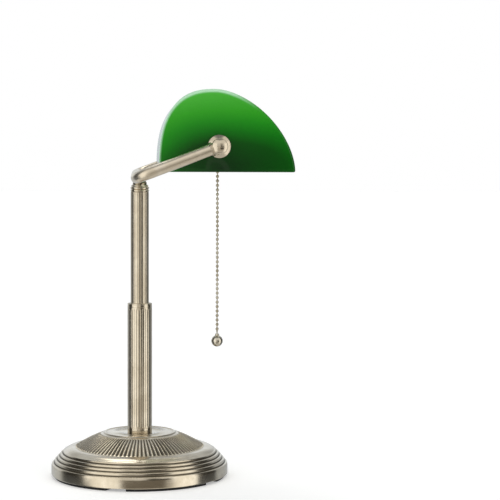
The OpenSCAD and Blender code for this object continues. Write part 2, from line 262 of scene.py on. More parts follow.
def metal(name, light, dark, rough=(0.16, 0.28)):
    """Plated metal: cloudy patina between two tones, painted shade and soiling in hollows, very fine grain."""
    patina, grain = 38, 900
    # the dark tone painted into hollows: shade that falls there, with some soiling
    shade_and_grime = (0.10, 0.085, 0.06)
    fleck_depth, fleck_tone = 0.25, tuple(c * 0.6 for c in dark)
    material, tree, shader = new_material(name)
    cloud = ramp_of(tree, noise_of(tree, patina, 6, distortion=0.6), 0.36, 0.66)
    fleck = ramp_of(tree, noise_of(tree, patina * 7, 3), 0.60, 0.74)
    tone = mix_of(tree, cloud, rgba(dark), rgba(light))
    spotted = mix_of(tree, math_of(tree, "MULTIPLY", fleck, fleck_depth), tone, rgba(fleck_tone))
    # how much painted shade and soiling each vertex gets, from the mesh
    hollow_shade = attribute_of(tree, "hollow_shade")
    tree.links.new(mix_of(tree, hollow_shade, spotted, rgba(shade_and_grime)), shader.inputs["Base Color"])
    shader.inputs["Metallic"].default_value = 1.0
    fine = noise_of(tree, grain, 3)
    span = rough[1] - rough[0]
    uneven = math_of(tree, "MULTIPLY_ADD", fine, span, rough[0])
    worn = math_of(tree, "MULTIPLY_ADD", cloud, -0.35 * span, uneven)
    tree.links.new(math_of(tree, "MULTIPLY_ADD", hollow_shade, 0.25, worn), shader.inputs["Roughness"])
    tree.links.new(bump_of(tree, fine, 0.06, 0.00004), shader.inputs["Normal"])
    return material


def dull(name, light, dark, rough, grain, bump, distance=0.0002, pits=0.0):
    """Rubber, foam, card or moulded plastic: mottled colour with a grain that is also its bump."""
    material, tree, shader = new_material(name)
    fine = noise_of(tree, grain, 5)
    cloud = noise_of(tree, grain / 12, 3)
    tone = mix_of(tree, math_of(tree, "MULTIPLY", fine, cloud), rgba(dark), rgba(light))
    tree.links.new(tone, shader.inputs["Base Color"])
    tree.links.new(math_of(tree, "MULTIPLY_ADD", cloud, 0.2, rough - 0.1), shader.inputs["Roughness"])
    height = math_of(tree, "SUBTRACT", fine, math_of(tree, "MULTIPLY", ramp_of(tree, fine, 0.5, 0.35), pits))
    tree.links.new(bump_of(tree, height, bump, distance), shader.inputs["Normal"])
    return material


def green_glass():
    """The green outer layer over opal.

    It is painted darkest low in the middle and lighter towards the crown and the sides, as light falls on it,
    and it is thin and pale where the mesh says edge, with a painted highlight there.
    """
    material, tree, shader = new_material("green_cased_glass")
    place = tree.nodes.new("ShaderNodeTexCoord").outputs["Object"]
    parts = tree.nodes.new("ShaderNodeSeparateXYZ")
    tree.links.new(place, parts.inputs["Vector"])
    # painted light and shade: darkest here, low in the middle, lighter towards the crown and the sides
    painted_dark_x, painted_dark_z = (pivot.x + 2) * MM, (shade_low.z + 4) * MM
    front_share, rear_share, full_reach = 0.42, 0.67, 0.075
    ahead = math_of(tree, "SUBTRACT", parts.outputs["X"], painted_dark_x)
    up = math_of(tree, "SUBTRACT", parts.outputs["Z"], painted_dark_z)
    front = math_of(tree, "MULTIPLY", math_of(tree, "MAXIMUM", ahead, 0.0), front_share)
    rear = math_of(tree, "MULTIPLY", math_of(tree, "MINIMUM", ahead, 0.0), rear_share)
    flat = math_of(tree, "MULTIPLY_ADD", front, front, math_of(tree, "MULTIPLY", rear, rear))
    reach = math_of(tree, "SQRT", math_of(tree, "MULTIPLY_ADD", up, up, flat))
    swirl = math_of(tree, "MULTIPLY_ADD", noise_of(tree, 9, 2, distortion=0.8), 0.010, -0.005)
    light_and_shade_ramp = tree.nodes.new("ShaderNodeValToRGB")
    share = math_of(tree, "MULTIPLY", math_of(tree, "ADD", reach, swirl), 1 / full_reach)
    tree.links.new(share, light_and_shade_ramp.inputs["Fac"])
    painted_light_stops = ((0.0, (0.0015, 0.022, 0.003)), (0.34, (0.003, 0.066, 0.004)), (0.48, (0.005, 0.150, 0.006)),
             (0.61, (0.012, 0.235, 0.009)), (0.75, (0.028, 0.320, 0.014)), (1.0, (0.065, 0.430, 0.040)))
    for stop, (at, colour) in enumerate(painted_light_stops):
        spot = light_and_shade_ramp.color_ramp.elements[stop] if stop < 2 else light_and_shade_ramp.color_ramp.elements.new(at)
        spot.position = at
        spot.color = rgba(colour)
    # pale thin glass at the edges, with a painted highlight mixed in
    thin_edge_and_highlight = mix_of(tree, attribute_of(tree, "edge"), light_and_shade_ramp.outputs["Color"], rgba((0.50, 0.82, 0.56)))
    tree.links.new(thin_edge_and_highlight, shader.inputs["Base Color"])
    shader.inputs["Roughness"].default_value = 0.08
    shader.inputs["IOR"].default_value = 1.45
    shader.inputs["Specular IOR Level"].default_value = 0.15
    shader.inputs["Coat Weight"].default_value = 0.15
    shader.inputs["Coat Roughness"].default_value = 0.03
    tree.links.new(bump_of(tree, noise_of(tree, 22, 2), 0.05, 0.0006), shader.inputs["Normal"])
    return material


def opal_glass():
    """The white inner layer of the shade."""
    material, tree, shader = new_material("opal_glass")
    cloud = noise_of(tree, 14, 3)
    tree.links.new(mix_of(tree, cloud, rgba((0.80, 0.84, 0.78)), rgba((0.90, 0.92, 0.88))),
                   shader.inputs["Base Color"])
    shader.inputs["Roughness"].default_value = 0.18
    shader.inputs["Coat Weight"].default_value = 0.4
    tree.links.new(bump_of(tree, noise_of(tree, 30, 2), 0.05, 0.0005), shader.inputs["Normal"])
    return material


def frosted_glass():
    """The bulb's softly etched white glass."""
    material, tree, shader = new_material("frosted_bulb_glass")
    fine = noise_of(tree, 1400, 3)
    tree.links.new(mix_of(tree, fine, rgba((0.86, 0.85, 0.80)), rgba((0.95, 0.94, 0.91))),
                   shader.inputs["Base Color"])
    tree.links.new(math_of(tree, "MULTIPLY_ADD", fine, 0.2, 0.32), shader.inputs["Roughness"])
    tree.links.new(bump_of(tree, fine, 0.15, 0.00005), shader.inputs["Normal"])
    return material


antique = metal("antique_brass", (0.67, 0.60, 0.48), (0.57, 0.50, 0.385))
satin = metal("satin_brass", (0.76, 0.68, 0.56), (0.67, 0.59, 0.46), (0.28, 0.38))
opal = opal_glass()
slot_materials = {
    "antique_brass": antique,
    "shadow_brass": metal("shadow_brass", (0.40, 0.34, 0.23), (0.26, 0.22, 0.15)),
    "chain_brass": metal("chain_brass", (0.60, 0.56, 0.47), (0.46, 0.41, 0.31), (0.12, 0.22)),
    "plain_brass": metal("plain_brass", (0.80, 0.62, 0.32), (0.68, 0.50, 0.24)),
    "zinc_steel": metal("zinc_steel", (0.66, 0.66, 0.64), (0.50, 0.50, 0.48), (0.25, 0.4)),
    "nickel": metal("nickel_plate", (0.74, 0.73, 0.70), (0.62, 0.61, 0.58), (0.15, 0.3)),
    "iron": dull("painted_iron", (0.09, 0.09, 0.095), (0.03, 0.03, 0.032), 0.6, 420, 0.6, 0.0004),
    "black_foam": dull("black_foam", (0.045, 0.045, 0.047), (0.008, 0.008, 0.009), 0.9, 1600, 0.9, 0.0003,
                       pits=0.8),
    "black_rubber": dull("black_rubber", (0.035, 0.035, 0.036), (0.012, 0.012, 0.012), 0.62, 900, 0.3),
    "black_enamel": dull("black_enamel", (0.03, 0.03, 0.031), (0.012, 0.012, 0.013), 0.35, 500, 0.15),
    "phenolic": dull("phenolic", (0.07, 0.05, 0.04), (0.02, 0.015, 0.012), 0.4, 700, 0.2),
    "fibre": dull("vulcanised_fibre", (0.72, 0.60, 0.42), (0.50, 0.40, 0.26), 0.75, 800, 0.4),
    "green_glass": green_glass(),
    "frosted_glass": frosted_glass(),
}
for node, slot in slot_of.items():
    mesh = nodes[node].data
    mesh.materials.clear()
    mesh.materials.append(slot_materials[slot])


# ---- base ----

def cover_outline():
    """Outside of the spun cover from its foot to the column, as (r, z, share of painted shade and soiling)."""
    rim_top, rim_lean = 14.3, 0.6
    line = [(base_r - 0.25, cover_low.z, 0), (base_r, cover_low.z + 0.35, 0), (base_r, cover_low.z + 0.9, 0),
            (base_r - 0.06, rim_top - 2.9, 0), (base_r - 0.12, rim_top - 1.9, 0)]
    runs, rises = (2.9, 2.8, 2.8, 3.1), (3.7, 3.2, 3.0, 2.6)
    edge_r, edge_z = base_r - rim_lean, rim_top
    soft = 0.75
    for k in range(len(runs) + 1):
        # a rounded shoulder
        for i in range(7):
            a = math.radians(8 + 72 * i / 6)
            line.append((edge_r - soft + soft * math.cos(a), edge_z - soft + soft * math.sin(a), 0))
        if k == len(runs):
            break
        next_r = edge_r - runs[k]
        # a tread that falls into a fine groove at the next wall's foot, with shade painted into the groove
        line += [(next_r + 1.25, edge_z + 0.35, 0.2), (next_r + 0.8, edge_z + 0.22, 0.9),
                 (next_r + 0.2, edge_z + 0.32, 1.0), (next_r + 0.05, edge_z + 0.9, 0.9),
                 (next_r + 0.03, edge_z + 1.5, 0.1)]
        edge_r, edge_z = next_r, edge_z + rises[k]
    band_in, band_z, band_power = 67.0, 30.6, 2.4
    band_out = edge_r - 1.0
    for i in range(9):
        u = 1 - i / 9
        z = band_z - (band_z - edge_z - 0.05) * u ** band_power
        line.append((band_in + (band_out - band_in) * u, z, 0))
    return line


def base_cover():
    """The spun cover: rim, thin stepped rings, a smooth band, radial flutes and a flat top with a bead."""
    flutes, per_flute = 96, 10
    flute_in, flute_out = 39.8, 66.4
    # how deep a flute is for each millimetre of radius, and its share of that inwards and downwards
    flute_depth, sink_in, sink_down = 0.021, 0.42, 0.9
    tip_step, body_step = 0.35, 1.0
    wall = 1.2
    slope_in, slope_out, slope_rise, slope_power = 37.0, 67.0, 14.0, 1.3
    slope_top = plateau_z - 0.7
    line = cover_outline()
    tips = [tip_step * i for i in range(9)]
    radii = [flute_out - t for t in tips]
    radii += [flute_out - tips[-1] - body_step * i for i in range(1, 21)]
    radii += [flute_in + t for t in reversed(tips)]
    radii = sorted({round(r, 2) for r in radii if flute_in <= r <= flute_out}, reverse=True)
    first_slope = len(line)
    for r in [slope_out - 0.05] + radii + [38.6, 37.4]:
        u = (r - slope_in) / (slope_out - slope_in)
        line.append((r, slope_top - slope_rise * max(0.0, u) ** slope_power, 0))
    last_slope = len(line)
    # painted shade in the crease round the foot of the top's bead
    line += [(36.95, slope_top + 0.15, 0.7), (36.75, slope_top + 0.7, 0.2), (36.45, plateau_z + 0.35, 0),
             (35.8, plateau_z + 0.5, 0), (35.0, plateau_z + 0.45, 0), (34.4, plateau_z + 0.15, 0.2),
             (33.9, plateau_z, 0.3), (33.3, plateau_z, 0)]
    line += [(23.0, plateau_z, 0), (22.6, plateau_z + 0.22, 0), (22.1, plateau_z + 0.22, 0),
             (21.7, plateau_z, 0), (14.0, plateau_z, 0), (rod_hole, plateau_z, 0)]
    inside = [(rod_hole, plateau_z - wall)]
    for r, z, _ in reversed(line[:last_slope:6]):
        inside.append((r - wall, z - wall - 1.0 if z > cover_low.z + 1 else cover_low.z))
    verts, hollow_shade = [], []
    columns_round = flutes * per_flute
    half_round = per_flute / 2
    for k in range(columns_round):
        angle = 2 * math.pi * k / columns_round
        off = (k % per_flute - half_round) / half_round
        valley = 0.5 + 0.5 * math.cos(math.pi * off)
        tip = 1.9 * (1 - math.sqrt(max(0.0, 1 - off * off)))
        c, s = math.cos(angle), math.sin(angle)
        for i, (r, z, shade_and_dirt) in enumerate(line):
            if first_slope <= i < last_slope:
                inwards = min(r - flute_in, flute_out - r) - tip
                share = smooth(inwards, 0.0, 1.1)
                cut = flute_depth * r * valley * share
                r, z = r - sink_in * cut, z - sink_down * cut
                # painted shade and soiling down each flute's valley
                shade_and_dirt = smooth(valley, 0.36, 0.88) * share
            verts.append((r * c, r * s, z))
            hollow_shade.append(shade_and_dirt)
        verts += [(r * c, r * s, z) for r, z in inside]
        hollow_shade += [0.0] * len(inside)
    faces = grid_faces(columns_round, len(line) + len(inside))
    cover = finish_piece("base_cover_spun", verts, faces, "base_cover", 50, {"hollow_shade": hollow_shade})
    open_inlet(cover)


def inlet_place():
    """Stands a turned piece on the cord inlet with its Z pointing out of the base."""
    mount = [m for m in frame["record"]["mounts"] if m["name"] == "cord_inlet"][0]
    outwards = Vector(mount["axis"]).to_track_quat("Z", "Y").to_matrix().to_4x4()
    return Matrix.Translation(Vector(mount["pos_m"]) / MM) @ outwards


def open_inlet(cover):
    """Cuts the round hole for the cord grommet through the cover's rim."""
    hole_r, depth = 4.25, 16
    place = Matrix.Scale(MM, 4) @ inlet_place()
    shape = bmesh.new()
    bmesh.ops.create_cone(shape, cap_ends=True, segments=48, radius1=hole_r, radius2=hole_r, depth=depth,
                          matrix=place)
    mesh = bpy.data.meshes.new("inlet_cutter")
    shape.to_mesh(mesh)
    shape.free()
    cutter = bpy.data.objects.new("inlet_cutter", mesh)
    bpy.context.scene.collection.objects.link(cutter)
    cut = cover.modifiers.new("inlet", "BOOLEAN")
    cut.operation = "DIFFERENCE"
    cut.object = cutter
    seen = cover.evaluated_get(bpy.context.evaluated_depsgraph_get())
    opened = bpy.data.meshes.new_from_object(seen)
    cover.modifiers.clear()
    cover.data = opened
    bpy.data.objects.remove(cutter)


def reeded(name, low, high, outer, inner, node, fade):
    """A column tube with convex reeds, which end in round tips over fade millimetres, or run through at 0."""
    reeds, per_reed, reed_slope = 26, 14, math.radians(21)
    darkest = 0.52
    part = math.tan(math.pi / reeds)
    reed_r = outer * part / (math.sin(reed_slope) + part * (1 - math.cos(reed_slope)))
    core = outer - reed_r
    if fade:
        ends = [fade * (i / 10) ** 1.5 for i in range(11)]
        levels = [low + e for e in ends] + [high - e for e in reversed(ends)]
    else:
        levels = [low, low + 0.4, high - 0.4, high]
    verts, hollow_shade = [], []
    for k in range(reeds * per_reed):
        angle = 2 * math.pi * k / (reeds * per_reed)
        off = ((k + per_reed // 2) % per_reed - per_reed / 2) / (per_reed / 2)
        turn = off * math.pi / reeds
        crest = core * math.cos(turn) + math.sqrt(max(0.0, reed_r ** 2 - (core * math.sin(turn)) ** 2))
        c, s = math.cos(angle), math.sin(angle)
        side = 1 - math.sqrt(max(0.0, 1 - off * off))
        for z in levels:
            from_end = min(z - low, high - z) - 0.35
            share = smooth(from_end - (fade - 1.6) * (1 - side), 0.0, 1.2) if fade else 1.0
            r = outer - (outer - crest) * share
            verts.append((r * c, r * s, z))
            # painted shade in the grooves between the reeds
            hollow_shade.append(darkest * smooth(abs(off), 0.66, 1.0) * share)
        verts += [(inner * c, inner * s, high), (inner * c, inner * s, low)]
        hollow_shade += [0.0, 0.0]
    faces = grid_faces(reeds * per_reed, len(levels) + 2)
    finish_piece(name, verts, faces, node, 60, {"hollow_shade": hollow_shade})


def columns():
    """The two reeded tubes, and the turned collar, reducer ring and cap whose spigots plug into them."""
    lower_r = collar_high.x
    upper_r = upper_high.x
    lower_bore, upper_bore = lower_r - 4.1, upper_r - 3.3
    spigot = 6
    reeded("lower_column_reeds", lower_low.z, lower_high.z, lower_r, lower_r - 4, "lower_column", 4.0)
    reeded("upper_column_reeds", upper_low.z, upper_high.z, upper_r, upper_r - 3.2, "upper_column", 0)
    top = collar_high.z - spigot
    lathe("base_collar_turned", [
        (rod_hole, plateau_z), (lower_r - 0.1, plateau_z), (lower_r, plateau_z + 0.4, 0.2), (lower_r, top),
        (lower_bore, top), (lower_bore, top + spigot), (rod_hole, top + spigot)],
        "base_collar", 128, radius=0.25)
    low = reducer_low.z + spigot
    high = reducer_high.z - spigot
    lathe("reducer_ring_turned", [
        (rod_hole, low - spigot), (lower_bore, low - spigot), (lower_bore, low), (lower_r, low),
        (lower_r, high - 1.5), (lower_r - 0.2, high - 1.3, 0.1), (lower_r, high - 1.0, 0.2),
        (lower_r, high, 0.45), (upper_bore, high), (upper_bore, high + spigot), (rod_hole, high + spigot)],
        "reducer_ring", 128, radius=0.3)
    base = upper_high.z
    r = cap_high.x
    lathe("column_cap_turned", [
        (rod_hole, base - spigot), (upper_bore, base - spigot), (upper_bore, base), (r - 0.7, base, 0.2),
        (r, base + 0.7, 0.8), (r, base + 2.1, 0.8), (r - 0.75, base + 2.8, 0.12), (r, base + 3.5, 0.8),
        (r, base + 4.9, 0.8), (r - 1.0, base + 5.75, 0.12), (r - 0.8, base + 6.2, 0.35),
        (r - 0.8, base + 6.8, 0.5), (r - 1.7, cap_high.z, 0.4), (rod_hole, cap_high.z)],
        "column_cap", 128, radius=0.3)


# ---- yoke ----

def yoke_path():
    """Centre line of the U from the near arm's end round to the far one's, and the measures behind it."""
    tube_r = 5.75
    bend_r = 14.0
    arm_y = node_box("yoke")[1].y - tube_r
    cross = Vector((-3.0, 0, 309.0))
    reach = Vector((pivot.x - cross.x, 0, pivot.z - cross.z))
    along = reach.normalized()
    arm_stops_short = 5.2
    arm = reach.length - arm_stops_short
    points = []
    for side in (-1, 1):
        straight = arm_y - bend_r
        bend = []
        for i in range(13):
            a = math.pi / 2 * i / 12
            bend.append(cross + along * (bend_r - bend_r * math.cos(a)) +
                        Vector((0, side * (straight + bend_r * math.sin(a)), 0)))
        run = [cross + Vector((0, side * y, 0)) for y in (0, straight * 0.5, straight * 0.98)]
        arms = [cross + along * (bend_r + (arm - bend_r) * t) + Vector((0, side * arm_y, 0))
                for t in (0.02, 0.5, 1)]
        half = run + bend + arms
        points = list(reversed(half)) if side < 0 else points + half[1:]
    return points, along, tube_r, arm_y


def swept(points, radius):
    """A capped round bar along points, with its rings square to the path."""
    segments = 48
    verts, faces = [], []
    side = None
    for i, p in enumerate(points):
        ahead = (points[min(i + 1, len(points) - 1)] - points[max(i - 1, 0)]).normalized()
        if side is None:
            side = ahead.orthogonal().normalized()
        side = (side - ahead * side.dot(ahead)).normalized()
        up = ahead.cross(side)
        for k in range(segments):
            a = 2 * math.pi * k / segments
            verts.append(p + side * radius * math.cos(a) + up * radius * math.sin(a))
    for i in range(len(points) - 1):
        for k in range(segments):
            j = (k + 1) % segments
            faces.append((i * segments + k, i * segments + j, (i + 1) * segments + j, (i + 1) * segments + k))
    last = (len(points) - 1) * segments
    faces.append(tuple(range(segments)))
    faces.append(tuple(last + k for k in reversed(range(segments))))
    return verts, faces


def yoke():
    """The bent tube, and at each end a domed button on a flange disc and a bead where the arm meets it."""
    points, along, tube_r, arm_y = yoke_path()
    verts, faces = swept(points, tube_r)
    finish_piece("yoke_tube", verts, faces, "yoke", 50, material=satin)
    button_r, seat, top, crown_r = 7.6, 117.4, 131.6, 11.8
    for side, word in ((-1, "near"), (1, "far")):
        place = side_place(side)
        spread = math.asin(button_r / crown_r)
        outline = [(0, seat), (button_r, seat)]
        for i in range(13):
            a = spread * (1 - i / 12)
            outline.append((crown_r * math.sin(a), top - crown_r * (1 - math.cos(a)), 0 if i else 0.7))
        lathe(f"{word}_elbow_button", outline, f"{word}_elbow", 64, place, radius=0)
        lathe(f"{word}_flange_disc", [
            (4.9, 114.0), (11.2, 114.0, 0.3), (11.2, 114.8, 0.4), (10.7, 115.2, 0.4), (9.6, 116.0, 1.0),
            (button_r + 0.1, seat - 0.1, 0.3), (4.9, seat - 0.1)],
            f"{word}_flange", 96, place)
        turn = along.to_track_quat("Z", "Y").to_matrix().to_4x4()
        ring = Matrix.Translation((pivot.x, side * arm_y, pivot.z)) @ turn
        lathe(f"{word}_arm_bead", [
            (tube_r, -9.2), (tube_r + 0.9, -9.2, 0.4), (tube_r + 1.4, -8.8, 0.5), (tube_r + 1.3, -8.2, 0.4),
            (tube_r + 0.5, -7.95, 0.1), (tube_r + 1.3, -7.7, 0.4), (tube_r + 1.4, -7.1, 0.5),
            (tube_r + 0.9, -6.7, 0.4), (tube_r, -6.7)],
            f"{word}_arm_ring", 64, ring, radius=0.3, material=antique)


# ---- shade ----

def shade():
    """One cased-glass bowl: a D-shaped trough with closed ends, all its edges softly rounded."""
    crown_x = pivot.x - 3.5
    lip = shade_low.z
    height = shade_high.z - lip
    halves = ((-1, crown_x - shade_low.x, 2.6), (1, shade_high.x - crown_x, 1.7))
    end_y = shade_high.y
    lip_r = glass / 2
    steps = 40
    width = 2 * steps + 1

    def outline(inset, scale):
        """Points over the crown from the rear lip to the front one, pulled in, then shrunk to its middle."""
        points = []
        for way, depth, power in halves:
            arc = []
            for i in range(steps + 1):
                a = math.pi / 2 * i / steps
                x = (depth - inset) * max(0.0, math.cos(a)) ** (2 / power)
                arc.append((way * x, (height - inset) * math.sin(a) ** (2 / power)))
            points = arc if way < 0 else points + list(reversed(arc))[1:]
        flatten = scale * (height - lip_r) / height
        return [(crown_x + x * scale, lip + lip_r + z * flatten) for x, z in points]

    def stations(wall, edge_r):
        """Rows of the surface from one end's middle to the other end's, as (inset, scale, y)."""
        end = end_y - wall
        half = [(wall + edge_r, scale, end) for scale in (0.0, 0.25, 0.5, 0.75, 0.9)]
        half += [(wall + edge_r + 1.6, 1.0, end), (wall + edge_r + 0.7, 1.0, end)]
        for i in range(13):
            a = math.pi / 2 * (1 - i / 12)
            half.append((wall + edge_r * (1 - math.cos(a)), 1.0, end - edge_r + edge_r * math.sin(a)))
        half += [(wall, 1.0, end - edge_r - 1.0), (wall, 1.0, end - edge_r - 3.0)]
        rows = [(inset, scale, -y) for inset, scale, y in half]
        rows += [(wall, 1.0, y) for y in (-end * 0.5, 0.0, end * 0.5)]
        return rows + [(inset, scale, y) for inset, scale, y in reversed(half)]

    verts, edge, faces, slots = [], [], [], []
    outer_rows, inner_rows = stations(0.0, 2.8), stations(glass, 2.0)
    for rows in (outer_rows, inner_rows):
        for inset, scale, y in rows:
            for i, (x, z) in enumerate(outline(inset, scale)):
                verts.append((x, y, z))
                # pale where the green is thin round each end's edge, plus a painted highlight:
                # narrow up the back, wider over the crown, gone down the front
                along = i / (width - 1)
                thin_edge_and_highlight_w = 2.2 + 1.9 * smooth(along, 0.10, 0.42)
                near_end = smooth(end_y - abs(y), 6.5, 3.5) if inset < 0.01 else 1.0
                fade = 1 - smooth(along, 0.55, 0.72)
                edge.append(smooth(thin_edge_and_highlight_w - inset, 0.0, 2.4) * near_end * fade if scale == 1.0 else 0.0)
    rows = len(outer_rows)
    inner_at = rows * width
    for start, slot in ((0, 0), (inner_at, 1)):
        for j in range(rows - 1):
            for i in range(width - 1):
                a, b = start + j * width + i, start + (j + 1) * width + i
                faces.append((a, a + 1, b + 1, b))
                slots.append(slot)
    # the lip: half a round bead between the two skins, along the open edge
    arc = 6
    for side in (0, width - 1):
        lines = [[j * width + side for j in range(rows)]]
        for k in range(1, arc):
            a = math.pi * k / arc
            line = []
            for j in range(rows):
                out = Vector(verts[j * width + side])
                middle = (out + Vector(verts[inner_at + j * width + side])) / 2
                hang = Vector((0, 0, lip_r * math.sin(a)))
                line.append(len(verts))
                verts.append(tuple(middle + (out - middle) * math.cos(a) - hang))
                edge.append(0.0)
            lines.append(line)
        lines.append([inner_at + j * width + side for j in range(rows)])
        for k in range(arc):
            first, second = lines[k], lines[k + 1]
            for j in range(rows - 1):
                faces.append((first[j], first[j + 1], second[j + 1], second[j]))
                slots.append(1 if k >= arc // 2 else 0)
    piece = finish_piece("glass_shade_bowl", verts, faces, "glass_shade", 40, {"edge": edge}, slots)
    piece.data.materials.append(opal)


# ---- clamping pieces, socket and bulb ----

def thread(outer, start, end, pitch, depth):
    """Outline points of a thread's crests and roots, drawn as rings a pitch apart."""
    points = []
    turns = int((end - start) / pitch)
    for i in range(turns):
        z = start + i * pitch
        points += [(outer - depth, z + 0.1 * pitch), (outer, z + 0.4 * pitch), (outer, z + 0.6 * pitch),
                   (outer - depth, z + 0.9 * pitch)]
    return points


def rounded_thread(outer, start, end, pitch, depth):
    """Outline points of a rolled lamp thread: a soft wave."""
    points = []
    steps = int((end - start) / pitch * 8)
    for i in range(steps + 1):
        z = start + (end - start) * i / steps
        points.append((outer - depth / 2 + depth / 2 * math.cos(2 * math.pi * (z - start) / pitch), z))
    return points


def lock_nut(word, bore, low, high, place):
    """A hexagon nut whose corners are turned off at both faces."""
    flat_r = 16 / 2
    corner_r = flat_r / math.cos(math.pi / 6)
    face_r = flat_r - 0.2
    bevel, corner_drop = 0.15, 0.75
    segments = 96
    verts = []
    for k in range(segments):
        angle = 2 * math.pi * k / segments
        to_flat = (angle + math.pi / 6) % (math.pi / 3) - math.pi / 6
        hexagon = flat_r / math.cos(to_flat)
        c, s = math.cos(angle), math.sin(angle)
        drop = corner_drop * (max(0.0, hexagon - flat_r) / (corner_r - flat_r))
        for r, z in ((bore, low), (face_r, low), (hexagon, low + bevel + drop),
                     (hexagon, high - bevel - drop), (face_r, high), (bore, high)):
            verts.append(place @ Vector((r * c, r * s, z)))
    finish_piece(f"{word}_lock_nut_hex", verts, grid_faces(segments, 6), f"{word}_lock_nut", 20)


def clamping():
    """Nipple, stud, lock nuts, rubber washers and bushings where the shade hangs on the yoke."""
    outside = shade_high.y
    inside = outside - glass
    washer, nut = 1.2, 4
    nut_high = inside - washer - 0.3
    thread_r, pipe_out = 4.9, 121.0
    for side, word in ((-1, "near"), (1, "far")):
        place = side_place(side)
        for where, low in (("outer", outside), ("inner", inside - washer)):
            lathe(f"{word}_{where}_washer_ring", [
                (5.6, low), (10.5, low, 0.35), (10.5, low + washer, 0.35), (5.6, low + washer)],
                f"{word}_{where}_washer", 72, place)
        lathe(f"{word}_bushing_ring", [
            (4.96, inside), (8.0, inside), (8.0, outside), (4.96, outside)],
            f"{word}_bushing", 72, place, radius=0.2)
        lock_nut(word, thread_r, nut_high - nut, nut_high, place)
    for side, start, bore, node in ((-1, 99.5, 3.8, "near_nipple"), (1, 103.0, 0.0, "far_stud")):
        root_r = thread_r - 0.5
        outline = [(bore, start), (root_r, start)] + thread(thread_r, start + 0.2, pipe_out - 0.2, 0.94, 0.4)
        outline += [(root_r, pipe_out), (bore, pipe_out)]
        lathe(f"{node}_thread", outline, node, 48, side_place(side), radius=0)


def lamp_socket():
    """Brass cap and shell, insulating liner and screw shell. It points to the far side, along +Y."""
    place = side_place(1)
    low, high = node_box("socket_shell")
    shell_r = (high.x - low.x) / 2
    cap_r = shell_r + 0.7
    back, front = (corner.y for corner in node_box("socket_cap"))
    lathe("socket_cap_spun", [
        (4.9, back), (8.8, back, 0.6), (9.2, back + 1.2, 0.5), (13.2, back + 3.2, 2.0),
        (cap_r, back + 8, 2.5), (cap_r, front - 2.6), (cap_r - 0.35, front - 2.2, 0.2),
        (cap_r - 0.35, front - 1.8, 0.2), (cap_r, front - 1.3, 0.3), (cap_r, front, 0.3),
        (cap_r - 0.7, front, 0.3), (cap_r - 0.7, back + 8.2, 2.0), (12.6, back + 3.8, 1.5),
        (8.6, back + 1), (4.9, back + 1)],
        "socket_cap", 96, place, radius=0.2)
    groove_r = shell_r - 0.45
    ribs = []
    for centre in (low.y + 6.5, high.y - 5.0):
        ribs += [(groove_r, centre - 1.1, 0.4), (shell_r, centre - 0.4, 0.4), (shell_r, centre + 0.4, 0.4),
                 (groove_r, centre + 1.1, 0.4)]
    lathe("socket_shell_spun", [
        (shell_r - 0.75, low.y), (groove_r, low.y, 0.1)] + ribs + [
        (groove_r, high.y - 1.4, 0.3), (shell_r, high.y - 0.9, 0.3), (shell_r, high.y, 0.2),
        (shell_r - 0.6, high.y, 0.2), (shell_r - 0.75, high.y - 0.8, 0.2)],
        "socket_shell", 96, place, radius=0.1)
    liner_in, liner_out, liner_end = shell_r - 1.3, shell_r - 0.8, high.y - 0.1
    lathe("socket_liner_tube", [
        (liner_in, low.y), (liner_out, low.y), (liner_out, liner_end), (liner_in, liner_end)],
        "socket_liner", 96, place, radius=0.12)
    low, high = node_box("screw_shell")
    screw_r = (high.x - low.x) / 2
    sheet = 0.45
    wave = rounded_thread(screw_r, low.y + 3, high.y - 0.6, 3.6, 0.7)
    outline = [(4, low.y), (screw_r - 0.7, low.y), (screw_r - 0.1, low.y + 1)] + wave
    outline += [(screw_r, high.y), (screw_r - sheet, high.y)] + [(r - sheet, z) for r, z in reversed(wave)]
    outline += [(screw_r - 1.2, low.y + 0.5), (4, low.y + 0.5)]
    lathe("screw_shell_rolled", outline, "screw_shell", 96, place, radius=0)


def bulb():
    """A tubular lamp: a screw base with a soft thread, and a frosted tube with a collar and a domed end."""
    place = side_place(1)
    low, high = node_box("bulb_base")
    base_end = high.y
    cap_r = (high.x - low.x) / 2
    outline = [(4.6, low.y), (8.5, low.y + 0.2, 1.0), (cap_r - 1.4, low.y + 2.8, 1.5)]
    outline += rounded_thread(cap_r, low.y + 4.2, base_end - 4.0, 3.6, 1.3)
    outline += [(cap_r - 0.6, base_end - 3.0), (cap_r, base_end - 2.2, 0.5), (cap_r, base_end, 0.2),
                (cap_r - 0.5, base_end), (cap_r - 1.9, base_end - 3.2), (cap_r - 2.2, low.y + 3.6),
                (8.2, low.y + 1.0), (4.6, low.y + 0.6)]
    lathe("bulb_base_rolled", outline, "bulb_base", 96, place, radius=0.15)
    low, high = node_box("bulb_contact")
    contact_r = (high.x - low.x) / 2
    lathe("bulb_contact_button", [
        (0.0, low.y), (1.6, low.y, 0.5), (2.2, low.y + 0.8, 0.4), (contact_r, low.y + 1.2),
        (contact_r, high.y), (0.0, high.y)],
        "bulb_contact", 48, place, radius=0.15)
    low, high = node_box("bulb_glass")
    glass_r, tip = (high.x - low.x) / 2, high.y
    neck_r, wall = cap_r - 0.6, 0.9
    dome = 0.8 * glass_r
    outline = [(neck_r - wall, low.y), (neck_r, low.y), (neck_r, base_end + 1.5, 2.0)]
    for i in range(9):
        t = i / 8
        outline.append((neck_r + (glass_r - neck_r) * smooth(t, 0, 1), base_end + 2.5 + 11 * t, 0))
    for i in range(1, 21):
        a = math.pi / 2 * i / 20
        outline.append((glass_r * math.cos(a), tip - dome * (1 - math.sin(a)), 0))
    for r, z, *_ in reversed(outline[3:]):
        outline.append((max(0.0, r - wall), z - wall if z > tip - dome else z))
    lathe("bulb_glass_blown", outline, "bulb_glass", 96, place, radius=0)


